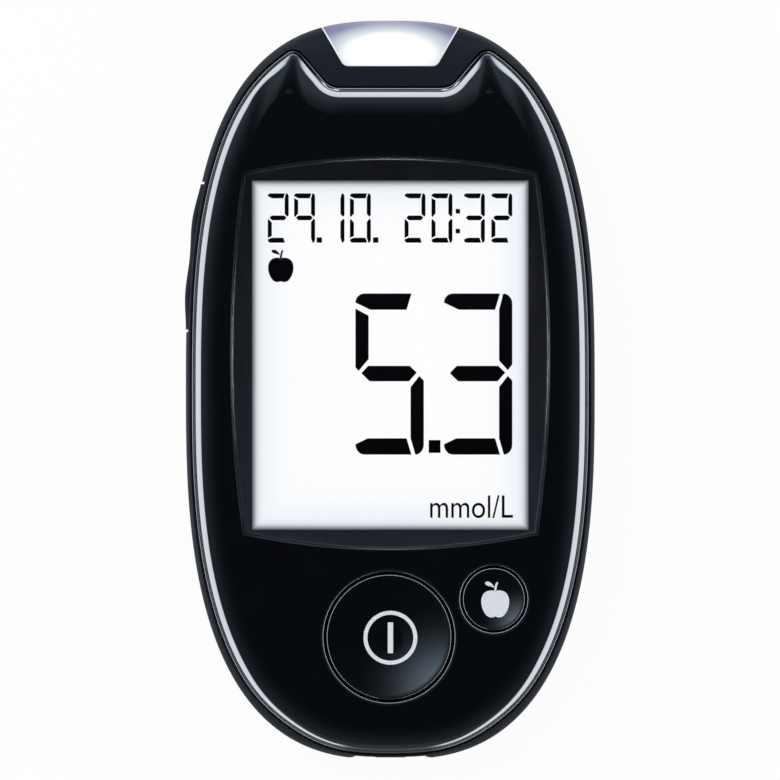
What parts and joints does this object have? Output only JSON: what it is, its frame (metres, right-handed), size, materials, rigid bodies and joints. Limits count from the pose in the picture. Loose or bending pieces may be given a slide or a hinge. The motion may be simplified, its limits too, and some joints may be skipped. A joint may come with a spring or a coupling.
{
  "type": "blood glucose meter",
  "caption": "Handheld blood glucose meter: oval gloss housing, large lit display, round front buttons, side rocker, lit strip port and hinged rear battery door.",
  "frame": {"origin": "bottom centre of the box: the middle of the flat rear face that the meter lies on", "axes": "+Z out of the display, +Y along the length towards the strip port, +X to the right of someone reading the display"},
  "size_m": [0.0583, 0.1047, 0.018],
  "materials": {
    "gloss_shell": "gloss black moulded plastic",
    "matt_shell": "fine matt dark grey moulded plastic",
    "window": "clear polished plastic window",
    "frosted_lens": "frosted white translucent plastic",
    "display": "lit liquid crystal display, white with dark segments",
    "light_plastic": "white moulded plastic",
    "board": "green solder mask on glass fibre board",
    "chip": "black moulding compound",
    "nickel": "nickel plated steel",
    "gilt": "gilt spring brass",
    "silicone": "grey silicone",
    "black_rubber": "soft black rubber",
    "label": "bare silver film"
  },
  "bodies": {
    "housing": {"front_cover": "gloss_shell", "display_window": "window", "middle_frame": "matt_shell", "rear_cover": "matt_shell", "port_light_lens": "frosted_lens", "rocker_pin": "nickel", "rear_label": "label", "lcd_cell": "display", "light_guide": "light_plastic", "lcd_holder": "light_plastic", "zebra_strip_upper": "black_rubber", "zebra_strip_lower": "black_rubber", "main_board": "board", "processor_chip": "chip", "measuring_chip": "chip", "memory_chip": "chip", "crystal": "nickel", "buzzer": "gilt", "port_led_left": "light_plastic", "port_led_right": "light_plastic", "keypad_mat": "silicone", "power_snap_dome": "nickel", "mark_snap_dome": "nickel", "rocker_switch_up": "nickel", "rocker_switch_down": "nickel", "strip_connector_base": "chip", "strip_connector_lid": "light_plastic", "strip_contact_1": "gilt", "strip_contact_2": "gilt", "strip_contact_3": "gilt", "battery_tray": "chip", "battery_cell_upper": "nickel", "battery_cell_lower": "nickel", "cell_contact_plus": "gilt", "cell_contact_minus": "gilt", "cell_bridge": "gilt", "data_jack_shell": "nickel", "data_jack_tongue": "chip", "case_screw_1": "nickel", "case_screw_2": "nickel", "case_screw_3": "nickel", "case_screw_4": "nickel"},
    "power_key": {"power_button": "gloss_shell"},
    "mark_key": {"mark_button": "gloss_shell"},
    "rocker": {"side_rocker": "matt_shell"},
    "door": {"battery_door": "matt_shell"},
    "port_flap": {"port_cover": "black_rubber"}
  },
  "joints": [
    {"name": "power_press", "type": "slide", "parent": "housing", "child": "power_key", "axis": [0, 0, -1], "range_m": [0, 0.0004], "stiffness_N_per_m": 2000},
    {"name": "mark_press", "type": "slide", "parent": "housing", "child": "mark_key", "axis": [0, 0, -1], "range_m": [0, 0.0004], "stiffness_N_per_m": 2000},
    {"name": "rocker_tip", "type": "hinge", "parent": "housing", "child": "rocker", "pos_m": [-0.02614, 0.01893, 0.009], "axis": [0, 0, 1], "range_deg": [-2.5, 2.5], "stiffness_Nm_per_rad": 0.25},
    {"name": "door_swing", "type": "hinge", "parent": "housing", "child": "door", "pos_m": [0, 0.02375, 0.0001], "axis": [1, 0, 0], "range_deg": [0, 80]},
    {"name": "port_flap_fold", "type": "hinge", "parent": "housing", "child": "port_flap", "pos_m": [0, -0.05139, 0.0054], "axis": [1, 0, 0], "range_deg": [0, 90]}
  ]
}
